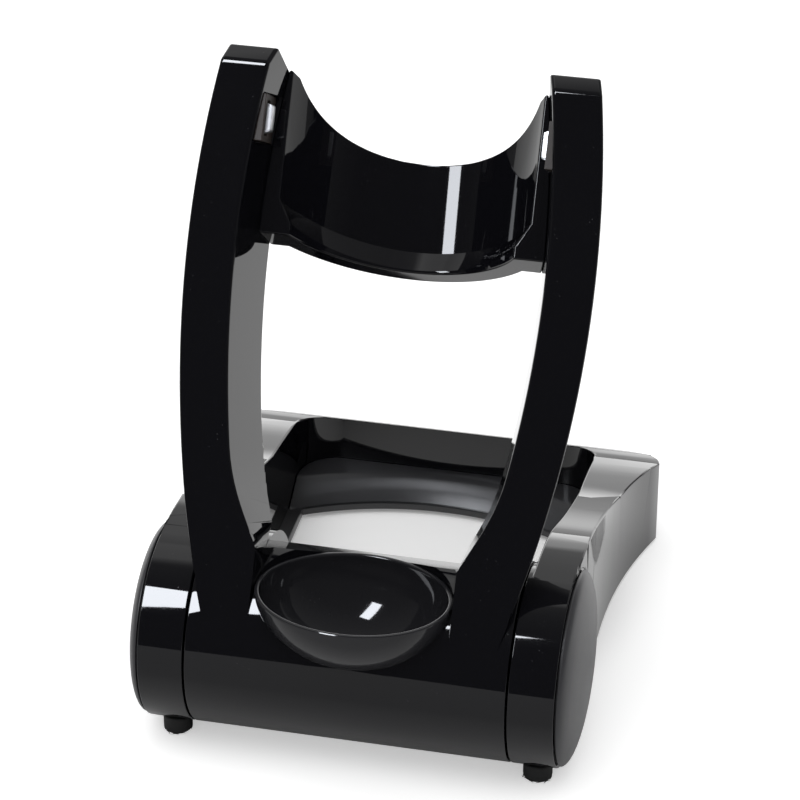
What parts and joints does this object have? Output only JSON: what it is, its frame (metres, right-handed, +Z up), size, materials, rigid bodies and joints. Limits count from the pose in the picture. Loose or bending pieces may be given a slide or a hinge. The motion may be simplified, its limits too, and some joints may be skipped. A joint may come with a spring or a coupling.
{
  "type": "shaver charging stand",
  "caption": "Folding charging stand for an electric shaver: two bowed arms with spring contacts, a cradle band and a cup on a hinged barrel, over a low open base.",
  "frame": {"origin": "on the table under the middle of the stand's overall width and depth, at the bottom of the rubber feet", "axes": "+X to the stand's right as it faces the user, +Y to the back, +Z up; the hinge axis runs along X"},
  "size_m": [0.1, 0.1182, 0.1345],
  "materials": {
    "gloss_black": "polished black moulding",
    "satin_black": "fine satin black moulding",
    "satin_charcoal": "soft gloss charcoal",
    "rubber": "matt rubber",
    "steel": "plain zinc-plated steel",
    "contact_metal": "bright nickel plating",
    "bush_plastic": "natural bearing plastic",
    "holder_brown": "dark brown insulating plastic"
  },
  "bodies": {
    "base": {"base_shell": "gloss_black", "base_pan": "satin_black", "left_end_cap": "satin_charcoal", "right_end_cap": "satin_charcoal", "left_hinge_pin": "steel", "right_hinge_pin": "steel", "front_feet": "rubber", "rear_feet": "rubber", "base_screws": "steel", "inlet_socket": "satin_black", "inlet_pins": "contact_metal"},
    "yoke": {"yoke_shell": "gloss_black", "left_arm_cover": "satin_black", "right_arm_cover": "satin_black", "cover_screws": "steel", "cradle_band": "gloss_black", "cup": "gloss_black", "hinge_bushes": "bush_plastic", "friction_washers": "steel", "left_contact_holder": "holder_brown", "right_contact_holder": "holder_brown", "left_contact_spring": "steel", "right_contact_spring": "steel"},
    "left_contact": {"left_contact": "contact_metal"},
    "right_contact": {"right_contact": "contact_metal"}
  },
  "joints": [
    {"name": "fold", "type": "hinge", "parent": "base", "child": "yoke", "pos_m": [0, -0.03385, 0.0218], "axis": [-1, 0, 0], "range_deg": [0, 36]},
    {"name": "left_contact_press", "type": "slide", "parent": "yoke", "child": "left_contact", "axis": [-1, 0, 0], "range_m": [0, 0.0012], "stiffness_N_per_m": 500, "deforming": ["left_contact_spring"]},
    {"name": "right_contact_press", "type": "slide", "parent": "yoke", "child": "right_contact", "axis": [1, 0, 0], "range_m": [0, 0.0012], "stiffness_N_per_m": 500, "deforming": ["right_contact_spring"]}
  ]
}
